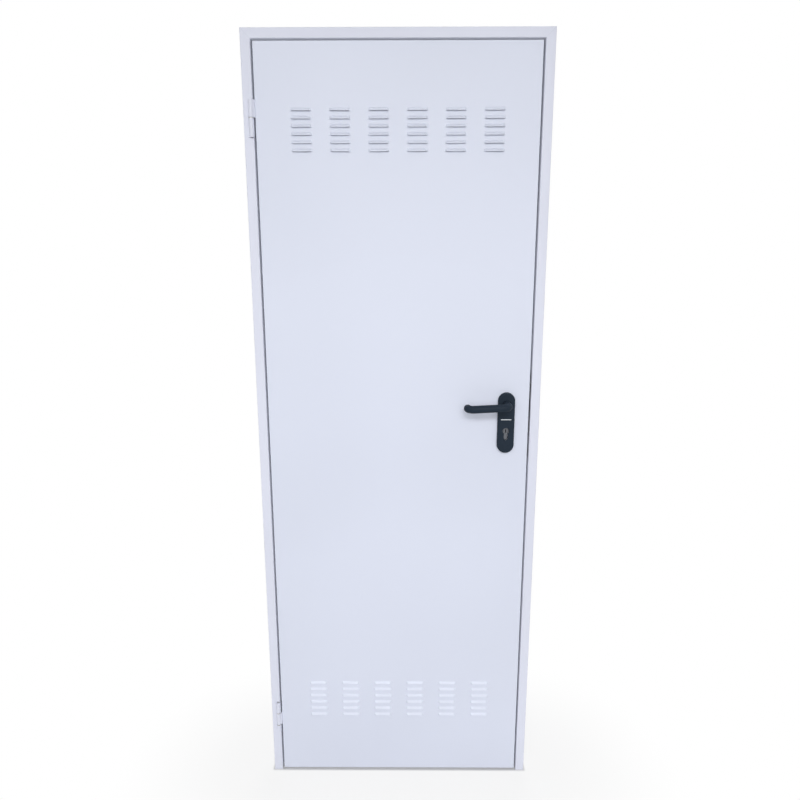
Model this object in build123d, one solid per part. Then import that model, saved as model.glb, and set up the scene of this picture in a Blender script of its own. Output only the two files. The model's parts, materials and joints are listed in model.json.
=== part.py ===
from build123d import *
import os

# Louvred steel door leaf hung in its folded steel frame.
# X runs from the wall face of the hinge jamb towards the latch jamb, Y runs into the wall
# with its zero in the plane of the stop, and Z runs up from the floor.

# Frame
frame_width = 748
frame_height = 2030
face_width = 24
frame_sheet = 1.2
stop_width = 15
back_depth = 17
back_lip = 10
bend_inside = 0.8
stop_gap = 5
leaf_gap = 5
floor_gap = 6

# Leaf
leaf_thickness = 38
skin_sheet = 0.6
skin_bend = 1.2
channel_sheet = 1.0
channel_flange = 24
channel_end_gap = 1
stiffener_sheet = 0.8
stiffener_web = 24

# Louvres
louvre_columns = 6
louvre_rows = 6
louvre_length = 51.5
louvre_column_pitch = 93.8
louvre_proud = 4.5
louvre_height = 8
louvre_lip = 1.5
top_bank_from_edge = 248
top_bank_pitch = 18.65
bottom_bank_from_edge = 181
bottom_bank_pitch = 20.7

# Hinges
barrel_radius = 6.5
barrel_sink = 4.7
barrel_from_gap = 7
pin_radius = 4
pin_clearance = 0.05
hinge_plate = 3
hinge_wing = 27
knuckle_gap = 0.3
washer_height = 1.6
notch_clearance = 0.5
top_hinge_from_edge = 129.8
top_frame_knuckle_height = 43
top_leaf_knuckle_height = 40
bottom_hinge_from_edge = 132
bottom_lower_knuckle_height = 17
bottom_leaf_knuckle_height = 36
bottom_upper_knuckle_height = 33

# Wall fixings
fixing_radius = 4.25
fixing_access_radius = 8
fixing_from_floor = 300
fixing_from_top = 430
fixing_count = 3

# Lock
backset = 60
spindle_height = 1124
lock_centres = 72
case_thickness = 16
case_past_spindle = 25
case_above_spindle = 48
case_below_cylinder = 45
forend_width = 20
forend_length = 235
forend_sheet = 3
forend_above_spindle = 82
bolt_clearance = 0.3
latch_width = 11
latch_height = 28
latch_above_spindle = 26
deadbolt_width = 11
deadbolt_height = 38
deadbolt_above_cylinder = 12
bolt_depth = 30
cylinder_round = 17
cylinder_web = 10
cylinder_height = 33
cylinder_clearance = 0.25
cylinder_recess = 5
plug_radius = 6.5
keyway_width = 2.4
keyway_height = 9
follower_radius = 9
spindle_side = 8
spindle_fit = 0.05

# Keeper in the latch jamb
keeper_width = 24
keeper_wall = 3
keeper_depth = 16
keeper_floor = 2
keeper_margin = 12
pocket_clearance = 3

# Handle set
plate_width = 44.5
plate_above_spindle = 31.5
plate_below_spindle = 132
plate_depth = 10
plate_wall = 2.5
plate_edge_round = 3.5
window_length = 28.5
window_height = 3
window_below_spindle = 41
underplate_wall = 1.5
underplate_clearance = 0.2
fixing_screw_radius = 2.5
fixing_screw_above = 21.5
fixing_screw_below = 108
grip_radius = 10
grip_out = 51
grip_reach = 115
grip_return = 27
grip_droop = 2.9
elbow_radius = 13
tip_bend_radius = 17
neck_clearance = 0.3
tip_round = 6
spindle_in_lever = 30

# Worked-out places
leaf_left = face_width + leaf_gap
leaf_width = frame_width - 2 * leaf_left
leaf_right = leaf_left + leaf_width
leaf_centre = frame_width / 2
leaf_bottom = floor_gap
leaf_top = frame_height - face_width - leaf_gap
leaf_back = -stop_gap
leaf_front = leaf_back - leaf_thickness
leaf_middle = (leaf_front + leaf_back) / 2
nose = face_width + stop_width
skin_inside_front = leaf_front + skin_sheet
skin_inside_back = leaf_back - skin_sheet
hinge_x = face_width + leaf_gap / 2 - barrel_from_gap
hinge_y = leaf_front + barrel_sink - barrel_radius
spindle_x = leaf_right - backset
cylinder_z = spindle_height - lock_centres


def block(x0, x1, y0, y1, z0, z1):
    """A box between two corners."""
    return Pos((x0 + x1) / 2, (y0 + y1) / 2, (z0 + z1) / 2) * Box(x1 - x0, y1 - y0, z1 - z0)


def rod_z(x, y, z0, z1, radius):
    """An upright cylinder."""
    return Pos(x, y, (z0 + z1) / 2) * Cylinder(radius, z1 - z0)


def rod_y(x, z, y0, y1, radius):
    """A cylinder that runs through the leaf."""
    return Pos(x, (y0 + y1) / 2, z) * Rot(90, 0, 0) * Cylinder(radius, y1 - y0)


def rod_x(y, z, x0, x1, radius):
    """A cylinder that runs across the door."""
    return Pos((x0 + x1) / 2, y, z) * Rot(0, 90, 0) * Cylinder(radius, x1 - x0)


def through_leaf(sketch, x, z, y0, y1):
    """A flat outline, drawn as seen from the front, pulled through from y0 to y1."""
    return Pos(x, y1, z) * Rot(90, 0, 0) * extrude(sketch, y1 - y0)


def folded_section():
    """The frame's sheet section: x from the wall face to the opening, y from front to back."""
    t = frame_sheet
    tight = bend_inside
    wide = bend_inside + t
    outside = FilletPolyline(
        (back_lip, back_depth),
        (0, back_depth),
        (0, leaf_front),
        (face_width, leaf_front),
        (face_width, 0),
        (nose, 0),
        (nose, back_depth),
        (nose - back_lip, back_depth),
        radius=[wide, wide, wide, tight, wide, wide],
    )
    inside = FilletPolyline(
        (nose - back_lip, back_depth - t),
        (nose - t, back_depth - t),
        (nose - t, t),
        (face_width - t, t),
        (face_width - t, leaf_front + t),
        (t, leaf_front + t),
        (t, back_depth - t),
        (back_lip, back_depth - t),
        radius=[tight, tight, wide, tight, tight, tight],
    )
    ends = [Line(outside @ 1, inside @ 0), Line(inside @ 1, outside @ 0)]
    return make_face(Curve() + [outside, inside] + ends)


def upright_profile():
    """A jamb's length of section with its head end mitred."""
    prism = extrude(folded_section(), frame_height)
    past = nose + 1
    outline = make_face(
        Polyline((0, 0), (past, 0), (past, frame_height - past), (0, frame_height), close=True)
    )
    keep = through_leaf(outline, 0, 0, leaf_front - 1, back_depth + 1)
    return prism & keep


def fixing_heights():
    last = frame_height - fixing_from_top
    step = (last - fixing_from_floor) / (fixing_count - 1)
    return [fixing_from_floor + step * i for i in range(fixing_count)]


def drill_fixings(jamb):
    """Screw holes in the wall flange, each with an access hole in the rebate."""
    for z in fixing_heights():
        jamb -= rod_x(leaf_middle, z, -1, face_width / 2, fixing_radius)
        jamb -= rod_x(leaf_middle, z, face_width / 2, face_width + 1, fixing_access_radius)
    return jamb


def hinge_spans():
    """Lowest and highest point of the top hinge and of the bottom hinge."""
    top_height = top_frame_knuckle_height + washer_height + 2 * knuckle_gap + top_leaf_knuckle_height
    bottom_height = (
        bottom_lower_knuckle_height
        + bottom_leaf_knuckle_height
        + bottom_upper_knuckle_height
        + 2 * washer_height
        + 4 * knuckle_gap
    )
    top = leaf_top - top_hinge_from_edge
    bottom = leaf_bottom + bottom_hinge_from_edge
    return [(top - top_height, top), (bottom, bottom + bottom_height)]


def hinge_jamb():
    jamb = drill_fixings(upright_profile())
    for low, high in hinge_spans():
        jamb -= block(
            hinge_x - barrel_radius - notch_clearance,
            face_width + 1,
            leaf_front - 1,
            hinge_y + barrel_radius + notch_clearance,
            low - notch_clearance,
            high + notch_clearance,
        )
    return jamb


def keeper_span():
    low = cylinder_z + deadbolt_above_cylinder - deadbolt_height / 2 - keeper_margin
    high = spindle_height + latch_above_spindle + latch_height / 2 + keeper_margin
    return low, high


def latch_jamb():
    jamb = drill_fixings(upright_profile())
    low, high = keeper_span()
    half = keeper_width / 2
    jamb -= block(
        face_width - frame_sheet - 1, face_width + 1, leaf_middle - half, leaf_middle + half, low, high
    )
    return Pos(frame_width, 0, 0) * mirror(jamb, Plane.YZ)


def head_jamb():
    prism = Pos(0, 0, frame_height) * Rot(0, 90, 0) * extrude(folded_section(), frame_width)
    past = nose + 1
    outline = make_face(
        Polyline(
            (0, frame_height),
            (past, frame_height - past),
            (frame_width - past, frame_height - past),
            (frame_width, frame_height),
            close=True,
        )
    )
    return prism & through_leaf(outline, 0, 0, leaf_front - 1, back_depth + 1)


def latch_keeper():
    """A moulded insert in the latch jamb with a pocket each for the latch and the bolt."""
    low, high = keeper_span()
    half = keeper_width / 2
    face = frame_width - face_width
    body = block(face, face + keeper_depth, leaf_middle - half, leaf_middle + half, low, high)
    reach = half - keeper_wall
    for centre, height, _ in bolt_places():
        tall = height / 2 + pocket_clearance
        body -= block(
            face - 1,
            face + keeper_depth - keeper_floor,
            leaf_middle - reach,
            leaf_middle + reach,
            centre - tall,
            centre + tall,
        )
    return body


def bolt_places():
    """Middle height, height and width of the latch and of the dead bolt."""
    return [
        (spindle_height + latch_above_spindle, latch_height, latch_width),
        (cylinder_z + deadbolt_above_cylinder, deadbolt_height, deadbolt_width),
    ]


def frame_knuckle(low, high):
    """A barrel with its plate welded to the inner side of the rebate wall."""
    barrel = rod_z(hinge_x, hinge_y, low, high, barrel_radius)
    side = face_width - frame_sheet
    plate = block(side - hinge_plate, side, hinge_y, hinge_y + barrel_radius + hinge_wing, low, high)
    return barrel + plate - rod_z(hinge_x, hinge_y, low - 1, high + 1, pin_radius)


def leaf_knuckle(low, high):
    """A barrel with its plate on the edge of the leaf."""
    barrel = rod_z(hinge_x, hinge_y, low, high, barrel_radius)
    edge = leaf_left
    inner = edge - hinge_plate
    outline = make_face(
        Polyline(
            (hinge_x, hinge_y - barrel_radius * 0.8),
            (edge, leaf_front - hinge_plate / 2),
            (edge, leaf_front + hinge_wing),
            (inner, leaf_front + hinge_wing),
            (inner, leaf_front + hinge_plate / 2),
            (hinge_x, hinge_y + barrel_radius * 0.6),
            close=True,
        )
    )
    arm = Pos(0, 0, low) * extrude(outline, high - low)
    bore = rod_z(hinge_x, hinge_y, low - 1, high + 1, pin_radius + pin_clearance)
    return barrel + arm - bore


def washer(low):
    ring = rod_z(hinge_x, hinge_y, low, low + washer_height, barrel_radius)
    return ring - rod_z(hinge_x, hinge_y, low - 1, low + washer_height + 1, pin_radius + pin_clearance)


def top_hinge():
    low = hinge_spans()[0][0]
    frame_part = frame_knuckle(low, low + top_frame_knuckle_height)
    seat = low + top_frame_knuckle_height
    ring = washer(seat)
    leaf_low = seat + washer_height + 2 * knuckle_gap
    leaf_high = leaf_low + top_leaf_knuckle_height
    leaf_part = leaf_knuckle(leaf_low, leaf_high)
    pin = rod_z(hinge_x, hinge_y, low, leaf_high, pin_radius)
    return frame_part, ring, leaf_part, pin


def bottom_hinge():
    low = hinge_spans()[1][0]
    seat = low + bottom_lower_knuckle_height
    lower = frame_knuckle(low, seat)
    ring_low = washer(seat)
    leaf_low = seat + washer_height + 2 * knuckle_gap
    leaf_high = leaf_low + bottom_leaf_knuckle_height
    leaf_part = leaf_knuckle(leaf_low, leaf_high)
    upper_low = leaf_high + washer_height + 2 * knuckle_gap
    ring_high = washer(upper_low - washer_height)
    upper_high = upper_low + bottom_upper_knuckle_height
    upper = frame_knuckle(upper_low, upper_high)
    pin = rod_z(hinge_x, hinge_y, low, upper_high, pin_radius)
    return [lower, upper], [ring_low, ring_high], leaf_part, pin


def hood_wedge(length, proud, height, below):
    """A ridge on the plane y = 0 that slopes back at its top and at both ends."""
    profile = make_face(
        Polyline((0, -below), (0, height), (-proud, louvre_lip), (-proud, -below), close=True)
    )
    half = length / 2
    ridge = extrude(Plane((-half, 0, 0), x_dir=(0, 1, 0), z_dir=(1, 0, 0)) * profile, length)
    plan = make_face(
        Polyline((-half, 0), (half, 0), (half - proud, -proud), (proud - half, -proud), close=True)
    )
    return ridge & Pos(0, 0, -below) * extrude(plan, height + below)


def hood():
    """A lanced and pressed hood, open at its foot, the plane z = 0."""
    return hood_wedge(louvre_length, louvre_proud, louvre_height, 0)


def hood_void():
    """What is cut away inside a hood and through the sheet behind it."""
    length = louvre_length - 2 * skin_sheet
    height = louvre_height - skin_sheet
    inner = hood_wedge(length, louvre_proud - skin_sheet, height, skin_sheet)
    return inner + block(-length / 2, length / 2, 0, 2 * skin_sheet, 0, height)


def louvre_places():
    """Centre and mouth height of every louvre in both banks."""
    top_bank = (leaf_top - top_bank_from_edge, top_bank_pitch)
    bottom_bank = (leaf_bottom + bottom_bank_from_edge, bottom_bank_pitch)
    places = []
    for mouth, pitch in (top_bank, bottom_bank):
        for row in range(louvre_rows):
            for column in range(louvre_columns):
                step = column - (louvre_columns - 1) / 2
                places.append((leaf_centre + step * louvre_column_pitch, mouth + row * pitch))
    return places


def press_louvres(sheet, face_y, turn):
    """Raise a hood on the sheet at every louvre place and open it."""
    places = [Pos(x, face_y, z) * turn for x, z in louvre_places()]
    shape = hood()
    void = hood_void()
    hoods = [place * shape for place in places]
    voids = [place * void for place in places]
    return sheet.fuse(*hoods).cut(*voids)


def euro_outline(clearance=0.0):
    """The pear-shaped outline of the lock cylinder, with its round part at the origin."""
    radius = cylinder_round / 2 + clearance
    web = cylinder_web + 2 * clearance
    drop = cylinder_height - cylinder_round / 2
    foot = web / 2
    stem = Pos(0, -(drop - foot) / 2) * Rectangle(web, drop - foot)
    return Circle(radius) + stem + Pos(0, -(drop + clearance - foot)) * Circle(foot)


def stadium(width, above, below):
    """An upright outline with full round ends, with the spindle at the origin."""
    straight = above + below - width
    return Pos(0, (above - below) / 2) * (
        Rectangle(width, straight)
        + Pos(0, straight / 2) * Circle(width / 2)
        + Pos(0, -straight / 2) * Circle(width / 2)
    )


def handle_cuts(shape, y0, y1):
    """Openings in a skin for the spindle, the cylinder and the two plate screws."""
    shape -= rod_y(spindle_x, spindle_height, y0, y1, grip_radius + neck_clearance)
    shape -= through_leaf(euro_outline(cylinder_clearance), spindle_x, cylinder_z, y0, y1)
    for z in screw_heights():
        shape -= rod_y(spindle_x, z, y0, y1, fixing_screw_radius + cylinder_clearance)
    return shape


def screw_heights():
    return [spindle_height + fixing_screw_above, spindle_height - fixing_screw_below]


def forend_span():
    high = spindle_height + forend_above_spindle
    return high - forend_length, high


def forend_block(x0, x1, clearance=0.0):
    low, high = forend_span()
    half = forend_width / 2 + clearance
    return block(x0, x1, leaf_middle - half, leaf_middle + half, low - clearance, high + clearance)


def rounded_tray(inset, back, bend):
    """A block as wide and tall as the leaf less an inset, with its four front edges bent round."""
    body = block(
        leaf_left + inset,
        leaf_right - inset,
        leaf_front + inset,
        back,
        leaf_bottom + inset,
        leaf_top - inset,
    )
    return fillet(body.faces().sort_by(Axis.Y)[0].edges(), bend)


def front_skin():
    """The tray: a face with its four edges folded back."""
    t = skin_sheet
    sheet = rounded_tray(0, skin_inside_back, skin_bend) - rounded_tray(t, leaf_back, skin_bend - t)
    sheet = handle_cuts(sheet, leaf_front - 1, leaf_front + t + 1)
    sheet -= forend_block(leaf_right - t - 1, leaf_right + 1, bolt_clearance)
    return press_louvres(sheet, leaf_front, Rot(0, 0, 0))


def back_skin():
    sheet = block(leaf_left, leaf_right, skin_inside_back, leaf_back, leaf_bottom, leaf_top)
    sheet = handle_cuts(sheet, leaf_back - skin_sheet - 1, leaf_back + 1)
    return press_louvres(sheet, leaf_back, Rot(0, 0, 180))


def side_channel():
    """The hinge-side stiffening channel, open towards the middle of the leaf."""
    t = channel_sheet
    edge = leaf_left + skin_sheet
    low = leaf_bottom + skin_sheet + channel_end_gap
    high = leaf_top - skin_sheet - channel_end_gap
    outer = block(edge, edge + channel_flange, skin_inside_front, skin_inside_back, low, high)
    inner = block(
        edge + t, edge + channel_flange + 1, skin_inside_front + t, skin_inside_back - t, low - 1, high + 1
    )
    outer = fillet(outer.edges().filter_by(Axis.Z).group_by(Axis.X)[0], bend_inside + t)
    inner = fillet(inner.edges().filter_by(Axis.Z).group_by(Axis.X)[0], bend_inside)
    return outer - inner


def lock_channel():
    channel = Pos(frame_width, 0, 0) * mirror(side_channel(), Plane.YZ)
    channel -= forend_block(leaf_right - channel_flange - 2, leaf_right, bolt_clearance)
    return handle_case_room(channel)


def handle_case_room(channel):
    low, high = case_span()
    half = case_thickness / 2 + bolt_clearance
    return channel - block(
        case_left() - 1, leaf_right, leaf_middle - half, leaf_middle + half, low - 1, high + 1
    )


def top_channel():
    """A stiffening channel along the top edge, between the side channels and open downwards."""
    x0 = leaf_left + skin_sheet + channel_flange
    x1 = leaf_right - skin_sheet - channel_flange
    high = leaf_top - skin_sheet
    low = high - channel_flange
    t = channel_sheet
    outer = block(x0, x1, skin_inside_front, skin_inside_back, low, high)
    inner = block(x0 - 1, x1 + 1, skin_inside_front + t, skin_inside_back - t, low - 1, high - t)
    outer = fillet(outer.edges().filter_by(Axis.X).group_by(Axis.Z)[-1], bend_inside + t)
    inner = fillet(inner.edges().filter_by(Axis.X).group_by(Axis.Z)[-1], bend_inside)
    return outer - inner


def bottom_channel():
    """The same along the bottom edge, open upwards."""
    return Pos(0, 0, leaf_top + leaf_bottom) * mirror(top_channel(), Plane.XY)


def stiffener(x):
    """An upright top-hat rail between two louvre columns."""
    t = stiffener_sheet
    low = leaf_bottom + skin_sheet + channel_flange
    high = leaf_top - skin_sheet - channel_flange
    half = stiffener_web / 2
    hat = block(x - half, x + half, skin_inside_front, skin_inside_back, low, high)
    return hat - block(x - half + t, x + half - t, skin_inside_front + t, leaf_back, low - 1, high + 1)


def case_left():
    return spindle_x - case_past_spindle


def case_span():
    return cylinder_z - case_below_cylinder, spindle_height + case_above_spindle


def bolt_block(centre, height, width, depth, clearance=0.0):
    half = width / 2 + clearance
    tall = height / 2 + clearance
    x1 = leaf_right
    return block(
        x1 - depth - clearance, x1, leaf_middle - half, leaf_middle + half, centre - tall, centre + tall
    )


def lock_case():
    low, high = case_span()
    half = case_thickness / 2
    body = block(case_left(), leaf_right - forend_sheet, leaf_middle - half, leaf_middle + half, low, high)
    body -= rod_y(
        spindle_x, spindle_height, leaf_front, leaf_back, follower_radius + pin_clearance
    )
    body -= through_leaf(euro_outline(cylinder_clearance), spindle_x, cylinder_z, leaf_front, leaf_back)
    for z in screw_heights():
        body -= rod_y(spindle_x, z, leaf_front, leaf_back, fixing_screw_radius + cylinder_clearance)
    for centre, height, width in bolt_places():
        body -= bolt_block(centre, height, width, bolt_depth, bolt_clearance)
    return body


def lock_forend():
    plate = forend_block(leaf_right - forend_sheet, leaf_right)
    for centre, height, width in bolt_places():
        plate -= Pos(1, 0, 0) * bolt_block(centre, height, width, bolt_depth, bolt_clearance)
    return plate


def latch_bolt():
    centre, height, width = bolt_places()[0]
    return bolt_block(centre, height, width, bolt_depth)


def dead_bolt():
    centre, height, width = bolt_places()[1]
    return bolt_block(centre, height, width, bolt_depth)


def cylinder_ends():
    return leaf_front - plate_depth + cylinder_recess, leaf_back + plate_depth - cylinder_recess


def cylinder_body():
    y0, y1 = cylinder_ends()
    body = through_leaf(euro_outline(), spindle_x, cylinder_z, y0, y1)
    return body - rod_y(spindle_x, cylinder_z, y0 - 1, y1 + 1, plug_radius + pin_clearance)


def cylinder_plugs():
    """The two key barrels, each with its keyway."""
    y0, y1 = cylinder_ends()
    half = (y1 - y0) / 2 - 1
    plugs = []
    for outer, inner in ((y0, y0 + half), (y1, y1 - half)):
        plug = rod_y(spindle_x, cylinder_z, min(outer, inner), max(outer, inner), plug_radius)
        away = -1 if outer < inner else 1
        slot_in = outer - away * half * 0.8
        plug -= block(
            spindle_x - keyway_width / 2,
            spindle_x + keyway_width / 2,
            min(outer + away, slot_in),
            max(outer + away, slot_in),
            cylinder_z - keyway_height / 2,
            cylinder_z + keyway_height / 2,
        )
        plugs.append(plug)
    return plugs


def to_back(shape):
    """The same piece turned round for the other side of the leaf, mirrored through its middle."""
    return mirror(shape, Plane.XZ.offset(-leaf_middle))


def front_backplate():
    """The moulded cover: a shell with full round ends, its spindle hole, cylinder hole and window."""
    face = leaf_front - plate_depth
    outline = stadium(plate_width, plate_above_spindle, plate_below_spindle)
    cover = through_leaf(outline, spindle_x, spindle_height, face, leaf_front)
    rim = cover.faces().sort_by(Axis.Y)[0].edges()
    cover = fillet(rim, plate_edge_round)
    room = stadium(
        plate_width - 2 * plate_wall, plate_above_spindle - plate_wall, plate_below_spindle - plate_wall
    )
    cover -= through_leaf(room, spindle_x, spindle_height, face + plate_wall, leaf_front + 1)
    cover -= rod_y(spindle_x, spindle_height, face - 1, leaf_front, grip_radius + neck_clearance)
    cover -= through_leaf(
        euro_outline(cylinder_clearance), spindle_x, cylinder_z, face - 1, leaf_front
    )
    window = Rectangle(window_length, window_height)
    cover -= through_leaf(
        window, spindle_x, spindle_height - window_below_spindle, face - 1, face + plate_wall + 0.5
    )
    return cover


def front_underplate():
    """The pressed steel plate under the cover."""
    shrink = plate_wall + underplate_clearance
    face = leaf_front - plate_depth + plate_wall + underplate_clearance
    outline = stadium(plate_width - 2 * shrink, plate_above_spindle - shrink, plate_below_spindle - shrink)
    cup = through_leaf(outline, spindle_x, spindle_height, face, leaf_front)
    shrink += underplate_wall
    hollow = stadium(plate_width - 2 * shrink, plate_above_spindle - shrink, plate_below_spindle - shrink)
    cup -= through_leaf(hollow, spindle_x, spindle_height, face + underplate_wall, leaf_front + 1)
    cup -= rod_y(spindle_x, spindle_height, face - 1, leaf_front, grip_radius + neck_clearance)
    cup -= through_leaf(euro_outline(cylinder_clearance), spindle_x, cylinder_z, face - 1, leaf_front)
    return cup


def plate_screws():
    """Two screws that clamp the under-plates through the leaf."""
    wall = underplate_wall
    end = plate_depth - plate_wall - underplate_clearance - wall
    return [
        rod_y(spindle_x, z, leaf_front - end, leaf_back + end, fixing_screw_radius)
        for z in screw_heights()
    ]


def front_lever():
    """A round bar: out from the plate, along to the grip and back towards the leaf."""
    start = leaf_front - plate_depth + plate_wall + 2 * underplate_clearance
    out = leaf_front - grip_out
    reach = grip_reach - grip_radius
    path = FilletPolyline(
        (0, start, 0),
        (0, out, 0),
        (-reach, out, 0),
        (-reach, out + grip_return, 0),
        radius=[elbow_radius, tip_bend_radius],
    )
    section = Plane(origin=(0, start, 0), z_dir=(0, -1, 0)) * Circle(grip_radius)
    bar = sweep(section, path=path)
    tip = bar.faces().filter_by(Axis.Y).sort_by(Axis.X)[0]
    bar = fillet(tip.edges(), tip_round)
    hole = spindle_side + 2 * spindle_fit
    bar -= block(-hole / 2, hole / 2, start - spindle_in_lever, start + 1, -hole / 2, hole / 2)
    return Pos(spindle_x, 0, spindle_height) * Rot(0, -grip_droop, 0) * bar


def spindle():
    """The square bar that joins both levers, turned with them."""
    start = leaf_front - plate_depth + plate_wall + 2 * underplate_clearance
    reach = spindle_in_lever - 1
    side = spindle_side / 2
    length = 2 * (leaf_middle - start + reach)
    bar = Pos(0, leaf_middle, 0) * Box(2 * side, length, 2 * side)
    return Pos(spindle_x, 0, spindle_height) * Rot(0, -grip_droop, 0) * bar


def lock_follower():
    """The hub inside the lock that the spindle turns."""
    half = case_thickness / 2
    hub = rod_y(0, 0, leaf_middle - half, leaf_middle + half, follower_radius)
    hole = spindle_side / 2 + spindle_fit
    hub -= block(-hole, hole, leaf_middle - half - 1, leaf_middle + half + 1, -hole, hole)
    return Pos(spindle_x, 0, spindle_height) * Rot(0, -grip_droop, 0) * hub


def write(name, shape):
    pieces = shape if isinstance(shape, list) else [shape]
    solids = [solid for piece in pieces for solid in piece.solids()]
    whole = solids[0] if len(solids) == 1 else Compound(children=solids)
    export_step(whole, f"parts/{name}.step")


def main():
    os.makedirs("parts", exist_ok=True)
    write("hinge_jamb", hinge_jamb())
    write("latch_jamb", latch_jamb())
    write("head_jamb", head_jamb())
    write("latch_keeper", latch_keeper())
    top_frame, top_ring, top_leaf, top_pin = top_hinge()
    bottom_frame, bottom_rings, bottom_leaf, bottom_pin = bottom_hinge()
    write("top_frame_knuckle", top_frame)
    write("bottom_frame_knuckles", bottom_frame)
    write("top_leaf_knuckle", top_leaf)
    write("bottom_leaf_knuckle", bottom_leaf)
    write("hinge_washers", [top_ring] + bottom_rings)
    write("top_hinge_pin", top_pin)
    write("bottom_hinge_pin", bottom_pin)
    write("front_skin", front_skin())
    write("back_skin", back_skin())
    write("hinge_side_channel", side_channel())
    write("lock_side_channel", lock_channel())
    write("top_channel", top_channel())
    write("bottom_channel", bottom_channel())
    write("left_stiffener", stiffener(leaf_centre - louvre_column_pitch))
    write("right_stiffener", stiffener(leaf_centre + louvre_column_pitch))
    write("lock_case", lock_case())
    write("lock_forend", lock_forend())
    write("latch_bolt", latch_bolt())
    write("dead_bolt", dead_bolt())
    write("cylinder_body", cylinder_body())
    write("cylinder_plugs", cylinder_plugs())
    write("front_backplate", front_backplate())
    write("back_backplate", to_back(front_backplate()))
    write("front_underplate", front_underplate())
    write("back_underplate", to_back(front_underplate()))
    write("plate_screws", plate_screws())
    write("front_lever", front_lever())
    write("back_lever", to_back(front_lever()))
    write("spindle", spindle())
    write("lock_follower", lock_follower())


main()
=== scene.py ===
import json
import math

import bmesh
import bpy
from bpy.props import FloatProperty, FloatVectorProperty, IntProperty, PointerProperty
from mathutils import Matrix, Vector


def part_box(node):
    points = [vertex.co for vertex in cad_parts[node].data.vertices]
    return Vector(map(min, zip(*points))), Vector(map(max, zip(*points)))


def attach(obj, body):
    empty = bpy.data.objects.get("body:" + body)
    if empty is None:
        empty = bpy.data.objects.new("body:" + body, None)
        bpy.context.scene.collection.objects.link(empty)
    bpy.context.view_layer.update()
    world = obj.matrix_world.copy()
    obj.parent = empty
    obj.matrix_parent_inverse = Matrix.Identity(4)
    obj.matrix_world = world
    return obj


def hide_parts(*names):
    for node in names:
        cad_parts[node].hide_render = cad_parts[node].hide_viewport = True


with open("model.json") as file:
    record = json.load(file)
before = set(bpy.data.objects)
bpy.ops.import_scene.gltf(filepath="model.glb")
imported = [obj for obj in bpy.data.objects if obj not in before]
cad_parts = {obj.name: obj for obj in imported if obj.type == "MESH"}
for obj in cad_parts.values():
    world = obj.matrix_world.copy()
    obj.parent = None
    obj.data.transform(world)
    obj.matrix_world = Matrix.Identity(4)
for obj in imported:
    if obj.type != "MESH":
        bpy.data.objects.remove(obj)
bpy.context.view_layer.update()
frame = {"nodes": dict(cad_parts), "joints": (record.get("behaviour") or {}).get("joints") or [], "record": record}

bl_info = {
    "name": "Louvred steel door",
    "version": (1, 0, 0),
    "blender": (4, 5, 0),
    "location": "3D Viewport > Sidebar > Louvred door",
    "description": "Dresses a louvred steel door and its frame with pressed louvres, handles and finishes",
    "category": "Object",
}

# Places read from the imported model
MM = 0.001
SPINDLE = Vector(next(j["pos_m"] for j in frame["joints"] if j["name"] == "lever_turn"))
LEAF_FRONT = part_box("front_backplate")[1].y
LEAF_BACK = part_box("back_backplate")[0].y
LEAF_MIDDLE = (LEAF_FRONT + LEAF_BACK) / 2
LEAF_LOW, LEAF_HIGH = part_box("back_skin")
FRAME_LOW, FRAME_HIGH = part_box("head_jamb")
CYLINDER_LOW, CYLINDER_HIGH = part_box("cylinder_body")
FOREND_LOW, FOREND_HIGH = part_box("lock_forend")
KEEPER_LOW, KEEPER_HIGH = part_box("latch_keeper")
LEAF_CENTRE_X = (LEAF_LOW.x + LEAF_HIGH.x) / 2
FRAME_CENTRE_X = (FRAME_LOW.x + FRAME_HIGH.x) / 2
CYLINDER_RADIUS = (CYLINDER_HIGH.x - CYLINDER_LOW.x) / 2
CYLINDER_CENTRE = CYLINDER_HIGH.z - CYLINDER_RADIUS
CYLINDER_WEB = 5 * MM
FRONT, BACK = -1, 1
SHARP_ANGLE = math.radians(30)
WHITE = (1, 1, 1, 1)


def linear(red, green, blue):
    """A linear colour from display values of 0 to 255."""
    def channel(value):
        value /= 255
        return value / 12.92 if value <= 0.04045 else ((value + 0.055) / 1.055) ** 2.4
    return channel(red), channel(green), channel(blue)


# Settings

def millimetres(name, description, value):
    return FloatProperty(name=name, description=description, default=value * MM, unit="LENGTH")


def metres(name, description, value):
    return FloatProperty(name=name, description=description, default=value, unit="LENGTH")


def degrees(name, description, value):
    return FloatProperty(
        name=name, description=description, default=math.radians(value), subtype="ANGLE"
    )


def whole(name, description, value):
    return IntProperty(name=name, description=description, default=value, min=1)


def watts(name, description, value):
    return FloatProperty(name=name, description=description, default=value, unit="POWER")


def tint(name, description, values):
    return FloatVectorProperty(
        name=name, description=description, default=values, subtype="COLOR", min=0, max=1
    )


class FrameSizes(bpy.types.PropertyGroup):
    face: millimetres("Face", "Width of the frame's face", 24)
    cap_radius: millimetres("Cap radius", "Radius of the caps over the wall fixings", 7.9)


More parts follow.
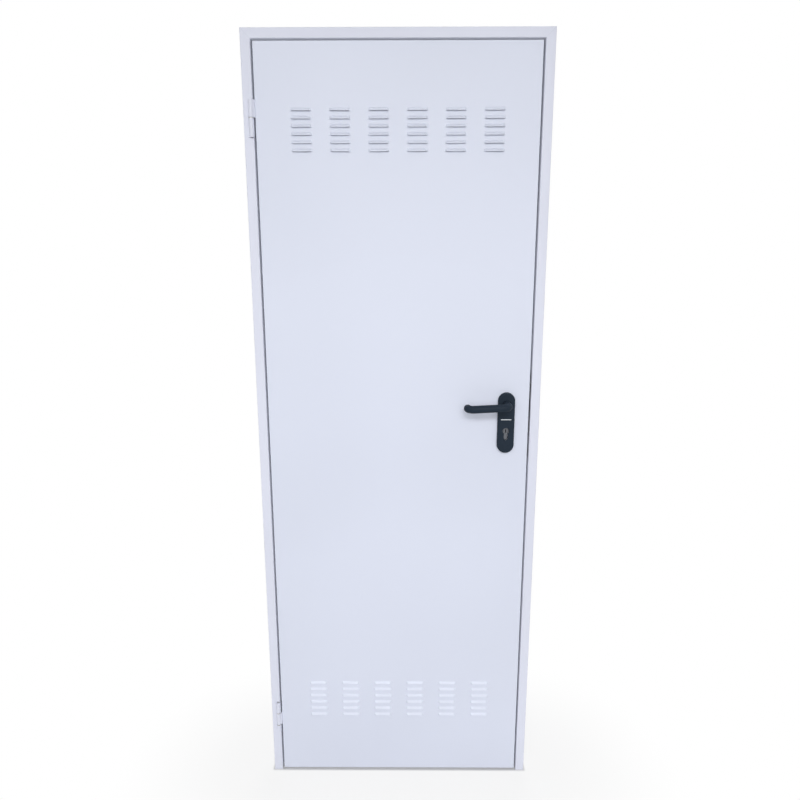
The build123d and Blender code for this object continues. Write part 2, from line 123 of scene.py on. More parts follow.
class LouvreSizes(bpy.types.PropertyGroup):
    columns: whole("Columns", "Louvres side by side in a bank", 6)
    rows: whole("Rows", "Louvres above one another in a bank", 6)
    length: millimetres("Length", "Length of one louvre", 51.5)
    height: millimetres("Height", "From the mouth to the top crease", 8)
    proud: millimetres("Proud", "How far a louvre stands out", 4.5)
    lip: millimetres("Lip", "Upright part of the hood at its mouth", 1.5)
    end: millimetres("End", "Length over which a hood runs out at its ends", 5)
    column_pitch: millimetres("Column pitch", "From one column to the next", 93.8)
    top_pitch: millimetres("Top pitch", "From row to row in the top bank", 18.65)
    bottom_pitch: millimetres("Bottom pitch", "From row to row in the bottom bank", 20.7)
    top_from_edge: millimetres("Top bank", "Lowest mouth of the top bank, below the leaf's top edge", 248)
    bottom_from_edge: millimetres(
        "Bottom bank", "Lowest mouth of the bottom bank, above the leaf's bottom edge", 181
    )
    sheet: millimetres("Sheet", "Thickness of the skins", 0.6)
    bend: millimetres("Bend", "Outside radius of the folded edges", 1.2)


class HandleSizes(bpy.types.PropertyGroup):
    width: millimetres("Plate width", "Width of the backplate", 44.5)
    above: millimetres("Above", "From the spindle to the plate's top", 31.5)
    below: millimetres("Below", "From the spindle to the plate's foot", 132)
    depth: millimetres("Plate depth", "How far the plate stands out", 10)
    wall: millimetres("Plate wall", "Wall of the moulded plate", 2.5)
    edge_round: millimetres("Edge round", "Radius round the plate's face", 3.5)
    window_length: millimetres("Window length", "Length of the slot in the plate", 28.5)
    window_height: millimetres("Window height", "Height of the slot in the plate", 3)
    window_below: millimetres("Window place", "From the spindle down to the slot", 41)
    screw_above: millimetres("Upper screw", "From the spindle up to the plate's upper screw", 21.5)
    screw_below: millimetres("Lower screw", "From the spindle down to the plate's lower screw", 108)
    grip_radius: millimetres("Grip radius", "Half the thickness of the lever", 10)
    grip_out: millimetres("Grip out", "From the leaf to the middle of the lever", 51)
    grip_reach: millimetres("Grip reach", "From the spindle to the lever's end", 115)
    grip_return: millimetres("Grip return", "How far the end turns back to the leaf", 27)
    droop: degrees("Droop", "How far the lever hangs at rest", 2.9)
    elbow: millimetres("Elbow", "Radius of the bend at the neck", 13)
    tip_bend: millimetres("End bend", "Radius of the bend at the lever's end", 17)
    tip_round: millimetres("End round", "Radius round the lever's end face", 6)
    clearance: millimetres("Clearance", "Gap round the neck in the plate", 0.3)


class FinishColours(bpy.types.PropertyGroup):
    leaf: tint("Leaf paint", "Powder coat of the leaf", linear(224, 229, 244))
    frame: tint("Frame paint", "Powder coat of the frame", linear(227, 230, 244))
    nylon: tint("Black nylon", "Handles and backplates", linear(33, 44, 56))
    keeper: tint("Keeper nylon", "Keeper of the latch", linear(196, 199, 206))
    galvanised: tint("Galvanised steel", "Channels inside the leaf", linear(176, 180, 186))
    zinc: tint("Bright zinc", "Plates under the covers", linear(214, 219, 224))
    steel: tint("Ground steel", "Forend, bolts and pins", linear(190, 190, 190))
    # Painted shade: the cylinder's nickel is coloured darker than bare metal, standing in for the shade it sits in
    nickel: tint("Satin nickel", "Lock cylinder", linear(104, 106, 111))


class StageSettings(bpy.types.PropertyGroup):
    floor: tint("Floor", "Colour of the floor", (0.7, 0.7, 0.71))
    floor_size: metres("Floor size", "Side of the square floor", 14)
    key: watts("Key lamp", "Power of the key lamp", 15.2)
    key_spread: degrees("Key spread", "How widely the key lamp's light fans out", 60)
    fill: watts("Fill lamp", "Power of the fill lamp", 12)
    back: watts("Back lamp", "Power of the back lamp", 80)
    sky: FloatProperty(name="Sky", description="Strength of the even light from all round", default=0.44)
    camera_place: FloatVectorProperty(
        name="Camera", description="Place of the camera", default=(0.387, -1.598, 1.446),
        subtype="TRANSLATION", unit="LENGTH",
    )
    camera_pitch: degrees("Pitch", "How far the camera looks down", 11.32)
    camera_yaw: degrees("Yaw", "How far the camera looks to the side", -0.325)
    camera_roll: degrees("Roll", "How far the camera leans", -0.062)
    lens: FloatProperty(name="Lens", description="Focal length of the camera, in mm", default=27)


SETTINGS = {
    "frame_sizes": FrameSizes,
    "louvre_sizes": LouvreSizes,
    "handle_sizes": HandleSizes,
    "finish_colours": FinishColours,
    "stage_settings": StageSettings,
}


# Node trees

# Sockets of a Mix node for colours, whose names it shares with its other kinds
MIX_FACTOR, MIX_FIRST, MIX_SECOND = 0, 6, 7
MIX_RESULT = 2
# Sockets of a Random Value node for numbers, in the same way
CHANCE_LOW, CHANCE_HIGH = 2, 3
CHANCE_RESULT = 1


class Socket:
    """One output of a node. Arithmetic on it adds Math nodes to its tree."""

    def __init__(self, tree, output):
        self.tree = tree
        self.output = output

    def math(self, operation, *values):
        inputs = dict(enumerate(values))
        return self.tree.node("ShaderNodeMath", {"operation": operation}, inputs)

    def __add__(self, other):
        return self.math("ADD", self, other)

    def __radd__(self, other):
        return self.math("ADD", other, self)

    def __sub__(self, other):
        return self.math("SUBTRACT", self, other)

    def __rsub__(self, other):
        return self.math("SUBTRACT", other, self)

    def __mul__(self, other):
        return self.math("MULTIPLY", self, other)

    def __rmul__(self, other):
        return self.math("MULTIPLY", other, self)

    def __abs__(self):
        return self.math("ABSOLUTE", self)

    def below(self, limit):
        return self.math("LESS_THAN", self, limit)

    def above(self, limit):
        return self.math("GREATER_THAN", self, limit)

    def at_least(self, limit):
        return self.math("MAXIMUM", self, limit)

    def at_most(self, limit):
        return self.math("MINIMUM", self, limit)


class Tree:
    """A node tree being built, for a material or for geometry."""

    def __init__(self, tree):
        self.tree = tree

    def node(self, kind, settings=None, inputs=None, output=0):
        """A node with its settings made first, then its sockets. Gives one output or several."""
        node = self.tree.nodes.new(kind)
        for name, value in (settings or {}).items():
            setattr(node, name, value)
        for name, value in (inputs or {}).items():
            socket = node.inputs[name]
            links = value if isinstance(value, list) else [value]
            for link in links:
                if isinstance(link, Socket):
                    self.tree.links.new(link.output, socket)
                else:
                    socket.default_value = link
        if isinstance(output, tuple):
            return [Socket(self, node.outputs[name]) for name in output]
        return Socket(self, node.outputs[output]) if node.outputs else None

    def split(self, vector):
        """The three parts of a vector."""
        return self.node("ShaderNodeSeparateXYZ", {}, {0: vector}, (0, 1, 2))

    def background_seen(self):
        """One for the rays that show the background, straight or in gloss and glass."""
        rays = ("Is Camera Ray", "Is Glossy Ray", "Is Transmission Ray")
        camera, gloss, glass = self.node("ShaderNodeLightPath", {}, {}, rays)
        return (camera + gloss + glass).at_most(1.0)

    def blend(self, factor, first, second):
        """One shader turning into another."""
        return self.node("ShaderNodeMixShader", {}, {0: factor, 1: first, 2: second})


class Finish(Tree):
    """A material on object coordinates."""

    def __init__(self, name):
        self.material = bpy.data.materials.new(name)
        self.material.use_nodes = True
        super().__init__(self.material.node_tree)
        self.tree.nodes.clear()
        self.place = self.node("ShaderNodeTexCoord", output="Object")

    def noise(self, scale, detail=2, place=None):
        inputs = {"Vector": place or self.place, "Scale": scale, "Detail": detail}
        return self.node("ShaderNodeTexNoise", {}, inputs)

    def cells(self, scale, output="Distance"):
        inputs = {"Vector": self.place, "Scale": scale}
        return self.node("ShaderNodeTexVoronoi", {}, inputs, output)

    def stretched(self, factors):
        """Object coordinates stretched along each axis, for brushed and drawn grain."""
        inputs = {"Vector": self.place, "Scale": factors}
        return self.node("ShaderNodeMapping", {}, inputs)

    def step(self, value, low, high, result_low=0.0, result_high=1.0):
        """A smooth change of a value from one result to another."""
        inputs = {
            "Value": value, "From Min": low, "From Max": high, "To Min": result_low,
            "To Max": result_high,
        }
        return self.node("ShaderNodeMapRange", {"interpolation_type": "SMOOTHSTEP"}, inputs)

    def mix(self, factor, first, second):
        """One colour turning into another."""
        inputs = {MIX_FACTOR: factor, MIX_FIRST: first, MIX_SECOND: second}
        return self.node("ShaderNodeMix", {"data_type": "RGBA"}, inputs, MIX_RESULT)

    def shades(self, factor, colour, dark, light):
        """A colour between its darker and its lighter shade."""
        return self.mix(factor, opaque(colour, dark), opaque(colour, light))

    def bump(self, height, distance, strength):
        inputs = {"Height": height, "Distance": distance, "Strength": strength}
        return self.node("ShaderNodeBump", {}, inputs)

    def shader(self, colour, roughness, normal, metallic=0.0, shine=0.5):
        return self.node("ShaderNodeBsdfPrincipled", {}, {
            "Base Color": colour, "Roughness": roughness, "Metallic": metallic,
            "Specular IOR Level": shine, "Normal": normal,
        })

    def show(self, shader):
        self.node("ShaderNodeOutputMaterial", {}, {"Surface": shader})
        return self.material

    def surface(self, *looks, **more):
        return self.show(self.shader(*looks, **more))


def opaque(colour, factor=1.0):
    """A colour, made lighter or darker, with its alpha."""
    return tuple(min(1.0, c * factor) for c in colour) + (1.0,)


# Finishes

PEEL_DEPTH = 0.06 * MM
# Painted light: a whiter paint for the sides of the gap, against the shade that falls there
GAP_PAINTED_LIGHT = (0.90, 0.92, 0.99)
DUST = (0.55, 0.53, 0.5)
FLOOR_DUST = (0.5, 0.48, 0.45)


def paint_light_in_gap(paint, y, tone):
    """Paints the sides of the gap between leaf and frame whiter than the faces: painted light against the shade in
    the gap.
    """
    gap_light_mask = y.above(LEAF_FRONT + 1.5 * MM) * y.below(LEAF_BACK - 0.5 * MM)
    return paint.mix(gap_light_mask, tone, opaque(GAP_PAINTED_LIGHT))


def coated(paint, tone, roughness, dent=0.0):
    """The satin face of powder coating with its fine orange peel, and dents where given."""
    gloss = roughness + 0.08 * paint.noise(60, detail=3)
    peel = paint.noise(420, detail=2) + 0.35 * paint.noise(1500, detail=1) - dent
    return paint.surface(tone, gloss, paint.bump(peel, PEEL_DEPTH, 0.6))


def powder_coat(name, colour):
    """Satin paint with slight changes of tone, painted light on the sides of the gap, and a little dust at the
    foot.
    """
    paint = Finish(name)
    cloud = paint.noise(1.7, detail=1)
    speck = paint.noise(900, detail=2)
    tone = paint.shades(paint.step(cloud, 0.3, 0.7), colour, 0.975, 1.012)
    tone = paint.mix(speck * 0.05, tone, opaque(colour, 0.8))
    _, y, z = paint.split(paint.place)
    # Painted light on the sides of the gap
    tone = paint_light_in_gap(paint, y, tone)
    dust = paint.step(z, 0.16, 0.0, 0.0, 0.05) * paint.noise(14, detail=4)
    return coated(paint, paint.mix(dust, tone, opaque(DUST)), 0.40)


def frame_coat(name, colour):
    """The frame's paint, with the ground mitre joints just showing at the head, and painted light on the sides of
    the gap.
    """
    paint = Finish(name)
    x, y, z = paint.split(paint.place)
    cloud = paint.noise(2.1, detail=1)
    tone = paint.shades(paint.step(cloud, 0.3, 0.7), colour, 0.97, 1.01)
    drop = FRAME_HIGH.z - z
    left = abs(x - drop)
    right = abs(FRAME_HIGH.x - x - drop)
    seam = paint.step(left.at_most(right), 0.9 * MM, 0.2 * MM) * drop.below(40 * MM)
    tone = paint.mix(seam * 0.16, tone, opaque(colour, 0.45))
    # Painted light on the sides of the gap
    tone = paint_light_in_gap(paint, y, tone)
    dust = paint.step(z, 0.10, 0.0, 0.0, 0.08) * paint.noise(16, detail=4)
    return coated(paint, paint.mix(dust, tone, opaque(FLOOR_DUST)), 0.42, 3 * seam)


def moulded_nylon(name, colour, grain):
    """Fine-grained moulded nylon, its gloss changing a little in patches."""
    nylon = Finish(name)
    cloud = nylon.noise(24, detail=3)
    tone = nylon.shades(cloud, colour, 0.86, 1.16)
    spark = nylon.cells(2600)
    height = spark + 0.6 * nylon.noise(3200, detail=1)
    roughness = 0.50 + 0.12 * nylon.noise(180, detail=3)
    return nylon.surface(tone, roughness, nylon.bump(height, grain, 0.7), shine=0.14)


def galvanised_sheet(name, colour):
    """Zinc spangle in flat crystals of about 8 mm, each with its own tone."""
    sheet = Finish(name)
    brightness, polish, _ = sheet.split(sheet.cells(120, "Color"))
    tone = sheet.shades(brightness, colour, 0.78, 1.08)
    roughness = 0.32 + 0.22 * polish
    normal = sheet.bump(sheet.noise(700, detail=3), 0.04 * MM, 0.5)
    return sheet.surface(tone, roughness, normal, metallic=0.85)


def bright_zinc(name, colour):
    """Plated pressing, slightly blue and drawn along its length."""
    zinc = Finish(name)
    drawn = zinc.noise(900, detail=2, place=zinc.stretched((1, 1, 0.06)))
    tone = zinc.shades(drawn, colour, 0.92, 1.04)
    roughness = 0.26 + 0.14 * zinc.noise(240, detail=2)
    return zinc.surface(tone, roughness, zinc.bump(drawn, 0.03 * MM, 0.5), metallic=0.9)


def ground_steel(name, colour):
    """Steel ground along its height."""
    steel = Finish(name)
    grain = steel.noise(1400, detail=3, place=steel.stretched((1, 1, 0.04)))
    tone = steel.shades(grain, colour, 0.82, 1.06)
    roughness = 0.24 + 0.20 * grain
    return steel.surface(tone, roughness, steel.bump(grain, 0.03 * MM, 0.6), metallic=0.95)


def satin_nickel(name, colour):
    """Blasted nickel with faint turning marks, on a colour darkened as painted shade."""
    nickel = Finish(name)
    fine = nickel.noise(2400, detail=2)
    tone = nickel.shades(nickel.noise(150, detail=2), colour, 0.88, 1.04)
    roughness = 0.34 + 0.12 * fine
    return nickel.surface(tone, roughness, nickel.bump(fine, 0.03 * MM, 0.5), metallic=0.9)


MATERIALS = {}


def make_materials(colours):
    MATERIALS.update(
        frame_paint=frame_coat("Frame_paint", colours.frame),
        leaf_paint=powder_coat("Leaf_paint", colours.leaf),
        hinge_paint=powder_coat("Hinge_paint", colours.frame),
        galvanised_steel=galvanised_sheet("Galvanised_steel", colours.galvanised),
        plate_zinc=bright_zinc("Bright_zinc", colours.zinc),
        bright_steel=ground_steel("Ground_steel", colours.steel),
        cylinder_nickel=satin_nickel("Satin_nickel", colours.nickel),
        black_nylon=moulded_nylon("Black_nylon", colours.nylon, 0.05 * MM),
        keeper_nylon=moulded_nylon("Keeper_nylon", colours.keeper, 0.03 * MM),
    )


# Mesh building

def loop(bm, points):
    return [bm.verts.new(p) for p in points]


def flat_loop(bm, points, y):
    """A loop in the door's elevation, x and z, at one depth."""
    return loop(bm, [(x, y, z) for x, z in points])


def level_loop(bm, points, z):
    """A loop at one height, for fasteners that face +Z."""
    return loop(bm, [(x, y, z) for x, y in points])


def bands(bm, *loops):
    """Closed rings of faces from each loop to the next, all with as many points."""
    for first, second in zip(loops, loops[1:]):
        count = len(first)
        for i in range(count):
            j = (i + 1) % count
            bm.faces.new((first[i], first[j], second[j], second[i]))


def fill(bm, loops):
    """A flat face inside the first loop, with the other loops as holes."""
    edges = []
    for ring in loops:
        for i, vert in enumerate(ring):
            after = ring[(i + 1) % len(ring)]
            edges.append(bm.edges.get((vert, after)) or bm.edges.new((vert, after)))
    made = bmesh.ops.triangle_fill(bm, use_beauty=True, use_dissolve=False, edges=edges)
    return [item for item in made["geom"] if isinstance(item, bmesh.types.BMFace)]


def face_outwards(bm):
    bmesh.ops.recalc_face_normals(bm, faces=bm.faces[:])


def quarter(steps):
    """The sine, and one less the cosine, at each step of a quarter turn."""
    angles = [math.radians(90 * i / steps) for i in range(1, steps + 1)]
    return [(math.sin(angle), 1 - math.cos(angle)) for angle in angles]


def circle(x, z, radius, count=40):
    step = 2 * math.pi / count
    return [(x + radius * math.cos(i * step), z + radius * math.sin(i * step)) for i in range(count)]


def stadium(x, z, width, above, below, count=24):
    """An upright outline with full round ends, given from the spindle."""
    radius = width / 2
    points = []
    for centre, start in ((z + above - radius, 0.0), (z - below + radius, math.pi)):
        for i in range(count + 1):
            angle = start + math.pi * i / count
            points.append((x + radius * math.cos(angle), centre + radius * math.sin(angle)))
    return points


def cylinder_outline(gap=0.0, count=20):
    """The lock cylinder's pear shape, round above and with a narrow round foot."""
    x = SPINDLE.x
    outer = CYLINDER_RADIUS + gap
    web = CYLINDER_WEB + gap
    foot = CYLINDER_LOW.z + CYLINDER_WEB
    spread = math.asin(web / outer)
    points = []
    start = -math.pi / 2 + spread
    sweep = 2 * math.pi - 2 * spread
    for i in range(2 * count + 1):
        angle = start + sweep * i / (2 * count)
        points.append((x + outer * math.cos(angle), CYLINDER_CENTRE + outer * math.sin(angle)))
    for i in range(count + 1):
        angle = math.pi + math.pi * i / count
        points.append((x + web * math.cos(angle), foot + web * math.sin(angle)))
    return points


def rounded_slot(x, z, width, height, radius, count=5):
    """A rectangle with round corners."""
    points = []
    corners = ((1, 1, 0), (-1, 1, 90), (-1, -1, 180), (1, -1, 270))
    for side, up, start in corners:
        centre_x = x + side * (width / 2 - radius)
        centre_z = z + up * (height / 2 - radius)
        for i in range(count + 1):
            angle = math.radians(start + 90 * i / count)
            points.append((centre_x + radius * math.cos(angle), centre_z + radius * math.sin(angle)))
    return points


def make_object(name, bm, material):
    """A finished mesh object at the origin, smooth but for its sharp edges."""
    mesh = bpy.data.meshes.new(name)
    bm.to_mesh(mesh)
    bm.free()
    mesh.shade_smooth()
    mesh.set_sharp_from_angle(angle=SHARP_ANGLE)
    mesh.materials.append(material)
    piece = bpy.data.objects.new(name, mesh)
    bpy.context.scene.collection.objects.link(piece)
    return piece


def settle(piece):
    """Turns the piece's modifiers into plain mesh."""
    graph = bpy.context.evaluated_depsgraph_get()
    mesh = bpy.data.meshes.new_from_object(piece.evaluated_get(graph), depsgraph=graph)
    piece.modifiers.clear()
    old = piece.data
    piece.data = mesh
    mesh.name = piece.name
    bpy.data.meshes.remove(old)


def weigh_normals(piece):
    """Keeps flat faces looking flat beside small rounds."""
    modifier = piece.modifiers.new("Flat faces", "WEIGHTED_NORMAL")
    modifier.keep_sharp = True


def deliver(piece, body, slot, *nodes):
    """Hands a finished piece to the body that carries it."""
    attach(piece, body)
    if nodes:
        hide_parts(*nodes)


def mirror_to_back(bm):
    """Reflects a mesh of the front side through the middle of the leaf."""
    for vert in bm.verts:
        vert.co.y = 2 * LEAF_MIDDLE - vert.co.y
    bmesh.ops.reverse_faces(bm, faces=bm.faces[:])


# Geometry node trees

def new_geometry_tree(name, inputs):
    """An empty geometry tree with named inputs, and the identifier of each input."""
    group = bpy.data.node_groups.new(name, "GeometryNodeTree")
    interface = group.interface
    interface.new_socket("Geometry", in_out="OUTPUT", socket_type="NodeSocketGeometry")
    interface.new_socket("Geometry", in_out="INPUT", socket_type="NodeSocketGeometry")
    identifiers = {}
    for label, kind in inputs:
        item = interface.new_socket(label, in_out="INPUT", socket_type=kind)
        identifiers[label] = item.identifier
    tree = Tree(group)
    labels = ("Geometry", *identifiers)
    sockets = dict(zip(labels, tree.node("NodeGroupInput", {}, {}, labels)))
    return tree, sockets, identifiers


def louvre_bank_tree():
    """Sets a louvre tile at every place of a bank and joins the tiles to the sheet."""
    tree, given, identifiers = new_geometry_tree("Louvre bank", [
        ("Tile", "NodeSocketObject"),
        ("Columns", "NodeSocketInt"),
        ("Rows", "NodeSocketInt"),
        ("Column pitch", "NodeSocketFloat"),
        ("Row pitch", "NodeSocketFloat"),
        ("Middle", "NodeSocketVector"),
        ("Weld distance", "NodeSocketFloat"),
        ("Paint", "NodeSocketMaterial"),
    ])
    width = (given["Columns"] - 1) * given["Column pitch"]
    height = (given["Rows"] - 1) * given["Row pitch"]
    grid = tree.node("GeometryNodeMeshGrid", {}, {
        "Size X": width, "Size Y": height, "Vertices X": given["Columns"], "Vertices Y": given["Rows"],
    })
    upright = tree.node("GeometryNodeTransform", {}, {
        "Geometry": grid, "Translation": given["Middle"], "Rotation": (math.pi / 2, 0, 0),
    })
    tile = tree.node("GeometryNodeObjectInfo", {}, {"Object": given["Tile"]}, "Geometry")
    tiles = tree.node("GeometryNodeInstanceOnPoints", {}, {"Points": upright, "Instance": tile})
    mesh = tree.node("GeometryNodeRealizeInstances", {}, {"Geometry": tiles})
    both = tree.node("GeometryNodeJoinGeometry", {}, {0: [given["Geometry"], mesh]})
    welded = tree.node("GeometryNodeMergeByDistance", {}, {
        "Geometry": both, "Distance": given["Weld distance"],
    })
    sheet = tree.node("GeometryNodeRealizeInstances", {}, {"Geometry": welded})
    painted = tree.node("GeometryNodeSetMaterial", {}, {"Geometry": sheet, "Material": given["Paint"]})
    tree.node("NodeGroupOutput", {}, {"Geometry": painted})
    return tree.tree, identifiers


def scattered_heads_tree():
    """Sets a screw head on every point, each turned by its own chance amount."""
    tree, given, identifiers = new_geometry_tree("Screw heads", [
        ("Head", "NodeSocketObject"),
        ("Facing", "NodeSocketRotation"),
        ("Seed", "NodeSocketInt"),
        ("Metal", "NodeSocketMaterial"),
    ])
    head = tree.node("GeometryNodeObjectInfo", {}, {"Object": given["Head"]}, "Geometry")
    heads = tree.node("GeometryNodeInstanceOnPoints", {}, {
        "Points": given["Geometry"], "Instance": head, "Rotation": given["Facing"],
    })
    chance = tree.node("FunctionNodeRandomValue", {"data_type": "FLOAT"}, {
        CHANCE_LOW: 0.0, CHANCE_HIGH: math.pi, "Seed": given["Seed"],
    }, CHANCE_RESULT)
    spin = tree.node("ShaderNodeCombineXYZ", {}, {"Z": chance})
    turned = tree.node("GeometryNodeRotateInstances", {}, {"Instances": heads, "Rotation": spin})
    mesh = tree.node("GeometryNodeRealizeInstances", {}, {"Geometry": turned})
    finished = tree.node("GeometryNodeSetMaterial", {}, {"Geometry": mesh, "Material": given["Metal"]})
    tree.node("NodeGroupOutput", {}, {"Geometry": finished})
    return tree.tree, identifiers


def add_tree(piece, tree, identifiers, values):
    """Puts a geometry tree on a piece with its inputs set."""
    modifier = piece.modifiers.new(tree.name, "NODES")
    modifier.node_group = tree
    for label, value in values.items():
        modifier[identifiers[label]] = value


# Skins

TILE_MARGIN = 0.8 * MM
WELD = 0.01 * MM
SHEET_SHARP_ANGLE = math.radians(38)
SCREW_HOLE_RADIUS = 2.75 * MM
CYLINDER_GAP = 0.25 * MM


def tile_columns(sizes):
    """Upright lines of a tile: x and how much of the full height the hood has there."""
    half = sizes.length / 2
    straight = half - sizes.end
    steps = 4
    right = []
    for i in range(steps + 1):
        share = i / steps
        right.append((straight + share * sizes.end, 0.5 + 0.5 * math.cos(math.pi * share)))
    right.append((half + TILE_MARGIN, 0.0))
    right.append((sizes.column_pitch / 2, 0.0))
    return [(-x, rise) for x, rise in reversed(right)] + right


def tile_rows(sizes, pitch):
    """Level lines of a tile above and below its slit: z and the hood's share of its full depth."""
    foot = -(pitch - sizes.height) / 2
    under = [(foot, 0.0), (-TILE_MARGIN, 0.0), (0.0, 0.0)]
    over = [(0.0, 1.0), (sizes.lip, 1.0)]
    steps = 4
    slope = sizes.height - sizes.lip
    for i in range(1, steps + 1):
        share = i / steps
        over.append((sizes.lip + share * slope, 0.5 + 0.5 * math.cos(math.pi * share)))
    over.append((sizes.height + TILE_MARGIN, 0.0))
    over.append((foot + pitch, 0.0))
    return under, over


def louvre_tile(name, sizes, pitch, side):
    """One louvre pressed in its share of the sheet, with its mouth at z = 0."""
    bm = bmesh.new()
    columns = tile_columns(sizes)
    for rows in tile_rows(sizes, pitch):
        lines = []
        for z, depth in rows:
            points = [(x, side * sizes.proud * depth * rise, z) for x, rise in columns]
            lines.append(loop(bm, points))
        for low, high in zip(lines, lines[1:]):
            for i in range(len(columns) - 1):
                corners = (low[i], low[i + 1], high[i + 1], high[i])
                bm.faces.new(corners if side == FRONT else corners[::-1])
    bmesh.ops.remove_doubles(bm, verts=bm.verts[:], dist=WELD)
    return make_object(name, bm, MATERIALS["leaf_paint"])


def bank_border(sizes, pitch, mouth):
    """The outline of a whole bank, with a point at every line of its tiles."""
    under, over = tile_rows(sizes, pitch)
    levels = sorted({round(z, 7) for z, _ in under + over})
    across = [x for x, _ in tile_columns(sizes)]
    xs = []
    for column in range(sizes.columns):
        centre = LEAF_CENTRE_X + (column - (sizes.columns - 1) / 2) * sizes.column_pitch
        xs += [centre + x for x in across]
    zs = []
    for row in range(sizes.rows):
        zs += [mouth + row * pitch + z for z in levels]
    xs = tidy_line(xs)
    zs = tidy_line(zs)
    bottom = [(x, zs[0]) for x in xs[:-1]]
    right = [(xs[-1], z) for z in zs[:-1]]
    top = [(x, zs[-1]) for x in reversed(xs[1:])]
    left = [(xs[0], z) for z in reversed(zs[1:])]
    return bottom + right + top + left


def tidy_line(values):
    """Rising values without doubles."""
    kept = []
    for value in sorted(values):
        if not kept or value - kept[-1] > WELD:
            kept.append(value)
    return kept


def rectangle(grow, y):
    """The leaf's outline, grown by an amount, at one depth."""
    x0, x1 = LEAF_LOW.x - grow, LEAF_HIGH.x + grow
    z0, z1 = LEAF_LOW.z - grow, LEAF_HIGH.z + grow
    return [Vector((x0, y, z0)), Vector((x1, y, z0)), Vector((x1, y, z1)), Vector((x0, y, z1))]


def screw_heights(handle):
    """Heights of the two screws that hold the plates together."""
    return [SPINDLE.z + handle.screw_above, SPINDLE.z - handle.screw_below]


def fixing_places(mount):
    """Depth and height of a jamb's wall fixings, from the record's mounts."""
    pattern = next(m for m in frame["record"]["mounts"] if m["name"] == mount)
    x, y, middle = pattern["pos_m"]
    half = pattern["dims"]["spacing_y_mm"] * MM / 2
    return [(y, middle - half), (y, middle), (y, middle + half)]


def skin_sheet(sizes, handle, side, banks):
    """The flat of a skin with its holes, and its folded edges where it is the front tray."""
    bm = bmesh.new()
    face = LEAF_FRONT if side == FRONT else LEAF_BACK
    inset = sizes.bend if side == FRONT else 0.0
    outer = loop(bm, rectangle(-inset, face))
    holes = [bank_border(sizes, pitch, mouth) for pitch, mouth in banks]
    holes.append(circle(SPINDLE.x, SPINDLE.z, handle.grip_radius + handle.clearance))
    holes.append(cylinder_outline(CYLINDER_GAP))
    holes += [circle(SPINDLE.x, z, SCREW_HOLE_RADIUS, 16) for z in screw_heights(handle)]
    for flat in fill(bm, [outer] + [flat_loop(bm, hole, face) for hole in holes]):
        if flat.normal.y * side < 0:
            flat.normal_flip()
    if side == FRONT:
        fold_edges(bm, sizes, outer)
    return bm


def fold_edges(bm, sizes, outer):
    """Bends the rim of the front skin round and back to the cover."""
    ring = outer
    for sine, rise in quarter(4):
        after = loop(bm, rectangle(sizes.bend * (sine - 1), LEAF_FRONT + sizes.bend * rise))
        bands(bm, after, ring)
        ring = after
    bands(bm, loop(bm, rectangle(0, LEAF_BACK - sizes.sheet)), ring)


def make_skin(name, node, sizes, handle, side):
    """A whole skin: the sheet, both banks of louvres, its thickness and its finish."""
    top_mouth = LEAF_HIGH.z - sizes.top_from_edge
    bottom_mouth = LEAF_LOW.z + sizes.bottom_from_edge
    banks = [(sizes.top_pitch, top_mouth), (sizes.bottom_pitch, bottom_mouth)]
    piece = make_object(name, skin_sheet(sizes, handle, side, banks), MATERIALS["leaf_paint"])
    tree, identifiers = louvre_bank_tree()
    face = LEAF_FRONT if side == FRONT else LEAF_BACK
    tiles = []
    for number, (pitch, mouth) in enumerate(banks):
        tile = louvre_tile(f"{name}_tile_{number}", sizes, pitch, side)
        tiles.append(tile)
        middle = (LEAF_CENTRE_X, face, mouth + pitch * (sizes.rows - 1) / 2)
        add_tree(piece, tree, identifiers, {
            "Tile": tile, "Columns": sizes.columns, "Rows": sizes.rows,
            "Column pitch": sizes.column_pitch, "Row pitch": pitch, "Middle": middle,
            "Weld distance": WELD, "Paint": MATERIALS["leaf_paint"],
        })
    settle(piece)
    for tile in tiles:
        bpy.data.objects.remove(tile)
    thick = piece.modifiers.new("Sheet", "SOLIDIFY")
    thick.thickness = sizes.sheet
    thick.offset = -1
    settle(piece)
    piece.data.shade_smooth()
    piece.data.set_sharp_from_angle(angle=SHEET_SHARP_ANGLE)
    weigh_normals(piece)
    settle(piece)
    deliver(piece, "leaf", "leaf_paint", node)


# Handles

WINDOW_CORNER = 0.8 * MM
PLATE_CHAMFER = 0.4 * MM
LEVER_SEAT = 0.4 * MM


def backplate(handle):
    """The moulded cover as a closed shell: round-edged face, side wall and hollow back."""
    bm = bmesh.new()
    face = LEAF_FRONT - handle.depth

    def outline(inset, y):
        width = handle.width - 2 * inset
        points = stadium(SPINDLE.x, SPINDLE.z, width, handle.above - inset, handle.below - inset)
        return flat_loop(bm, points, y)

    def cutouts(grow, y):
        neck = circle(SPINDLE.x, SPINDLE.z, handle.grip_radius + handle.clearance + grow)
        window = rounded_slot(
            SPINDLE.x, SPINDLE.z - handle.window_below, handle.window_length + 2 * grow,
            handle.window_height + 2 * grow, WINDOW_CORNER + grow,
        )
        shapes = (neck, cylinder_outline(CYLINDER_GAP + grow), window)
        return [flat_loop(bm, shape, y) for shape in shapes]

    rim = outline(handle.edge_round, face)
    mouths = cutouts(PLATE_CHAMFER, face)
    fill(bm, [rim] + mouths)
    edge = [
        outline(handle.edge_round * (1 - sine), face + handle.edge_round * rise)
        for sine, rise in quarter(6)
    ]
    foot = outline(0, LEAF_FRONT)
    inner_foot = outline(handle.wall, LEAF_FRONT)
    ceiling = outline(handle.wall, face + handle.wall)
    bands(bm, rim, *edge, foot, inner_foot, ceiling)
    necks = cutouts(0, face + PLATE_CHAMFER)
    bottoms = cutouts(0, face + handle.wall)
    for hole in zip(mouths, necks, bottoms):
        bands(bm, *hole)
    fill(bm, [ceiling] + bottoms)
    face_outwards(bm)
    return bm


